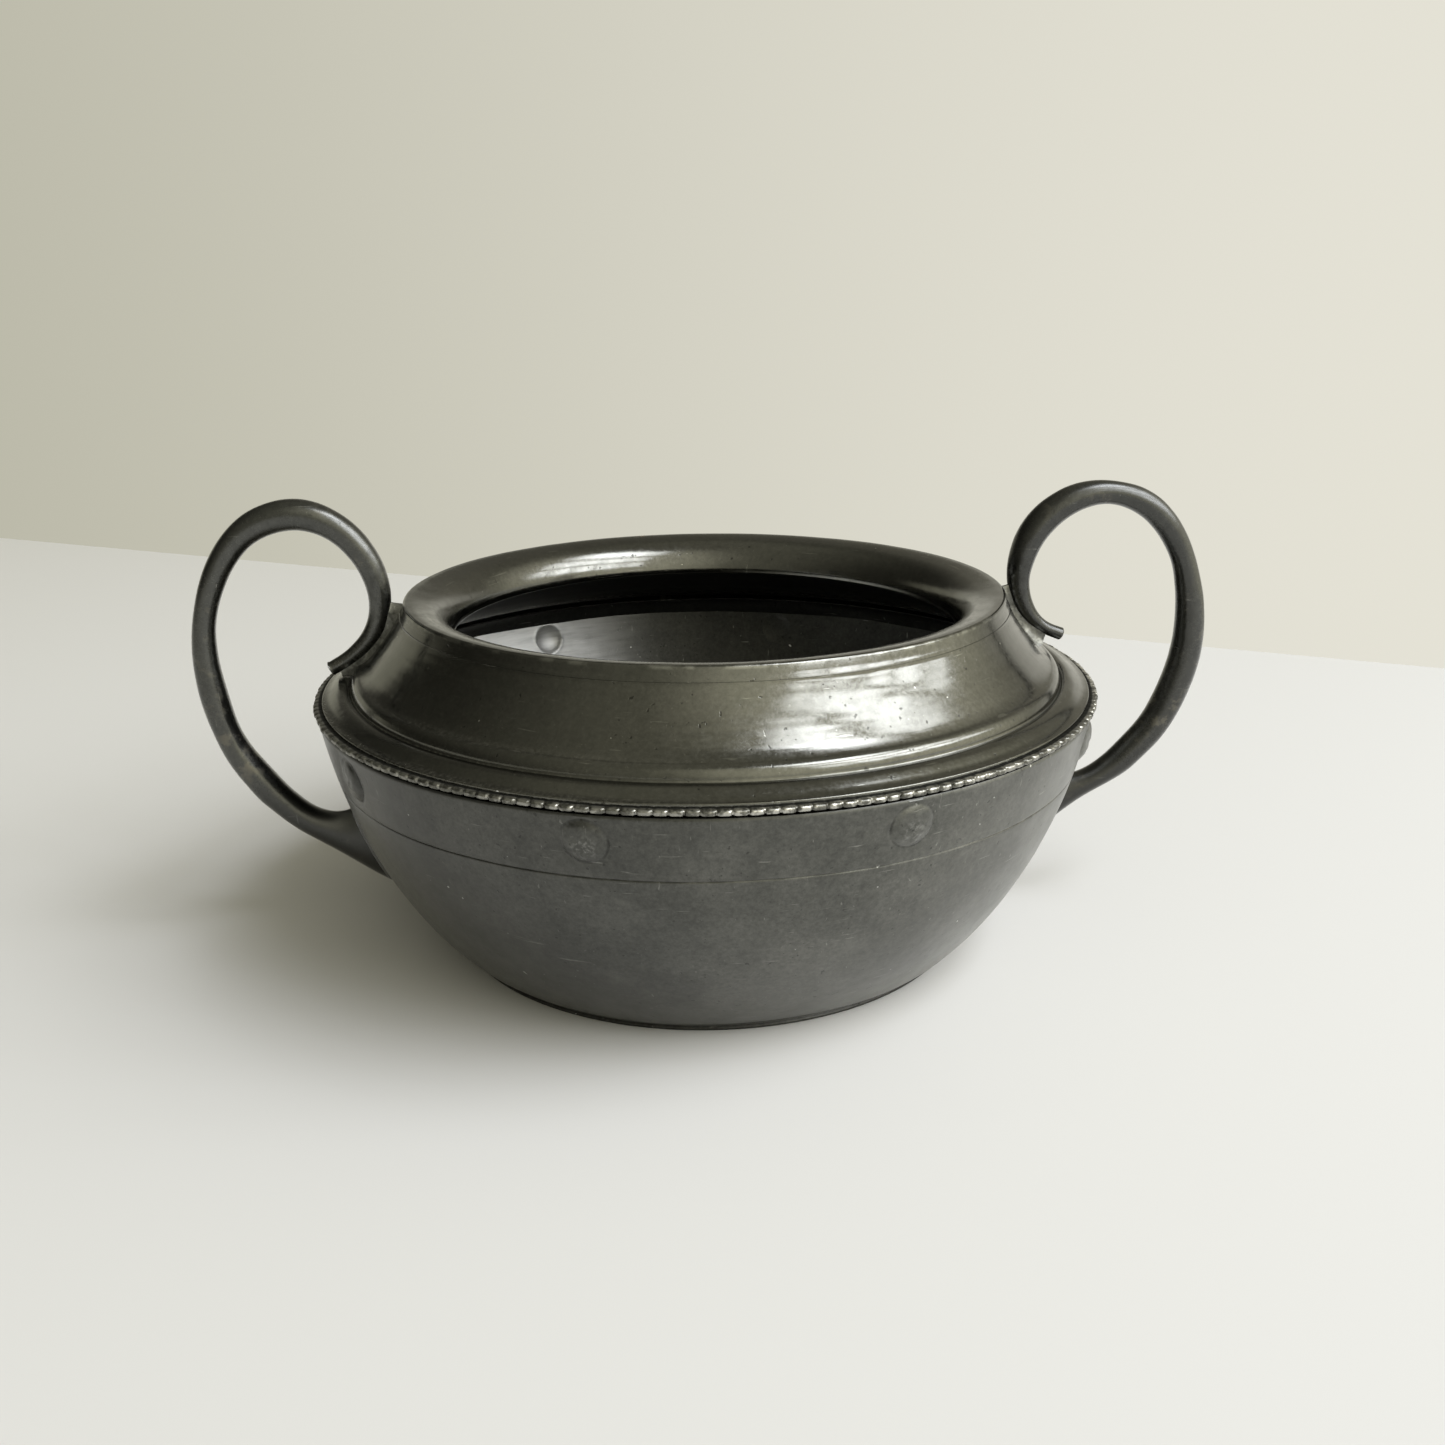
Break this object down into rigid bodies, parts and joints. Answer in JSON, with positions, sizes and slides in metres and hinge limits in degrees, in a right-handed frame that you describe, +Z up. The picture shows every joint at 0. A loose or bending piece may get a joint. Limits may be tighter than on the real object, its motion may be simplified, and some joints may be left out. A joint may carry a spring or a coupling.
{
  "type": "sugar bowl",
  "caption": "Open pewter sugar bowl with a turned-in mouth, a beaded wire at its widest point and looped side handles.",
  "frame": {"origin": "middle of the flat face under the foot ring, on the bowl's axis, at the surface it stands on", "axes": "+Z up along the bowl's axis; +X through the middle of the right handle, -X through the left handle; +Y across the mouth, square to both"},
  "size_m": [0.1535, 0.116, 0.0674],
  "materials": {
    "pewter_body": "dull grey aged pewter, satin, fine scratches and mottling",
    "pewter_collar": "dark olive-grey aged pewter, polished to a soft gloss",
    "pewter_rim": "dark olive-grey aged pewter, soft gloss, worn along its edge",
    "pewter_bead": "pewter worn bright on top of each bead, dark between them",
    "pewter_foot": "dull grey aged pewter, matte",
    "pewter_handle": "grey cast pewter, soft gloss with brown and green patches",
    "solder": "dull pale grey solder"
  },
  "bodies": {
    "root": {"lower_bowl": "pewter_body", "foot_ring": "pewter_foot", "shoulder_collar": "pewter_collar", "mouth_rim": "pewter_rim", "bead_wire": "pewter_bead", "seam_solder": "solder", "left_handle": "pewter_handle", "right_handle": "pewter_handle", "left_handle_top_solder": "solder", "right_handle_top_solder": "solder", "left_handle_foot_solder": "solder", "right_handle_foot_solder": "solder"}
  },
  "joints": []
}
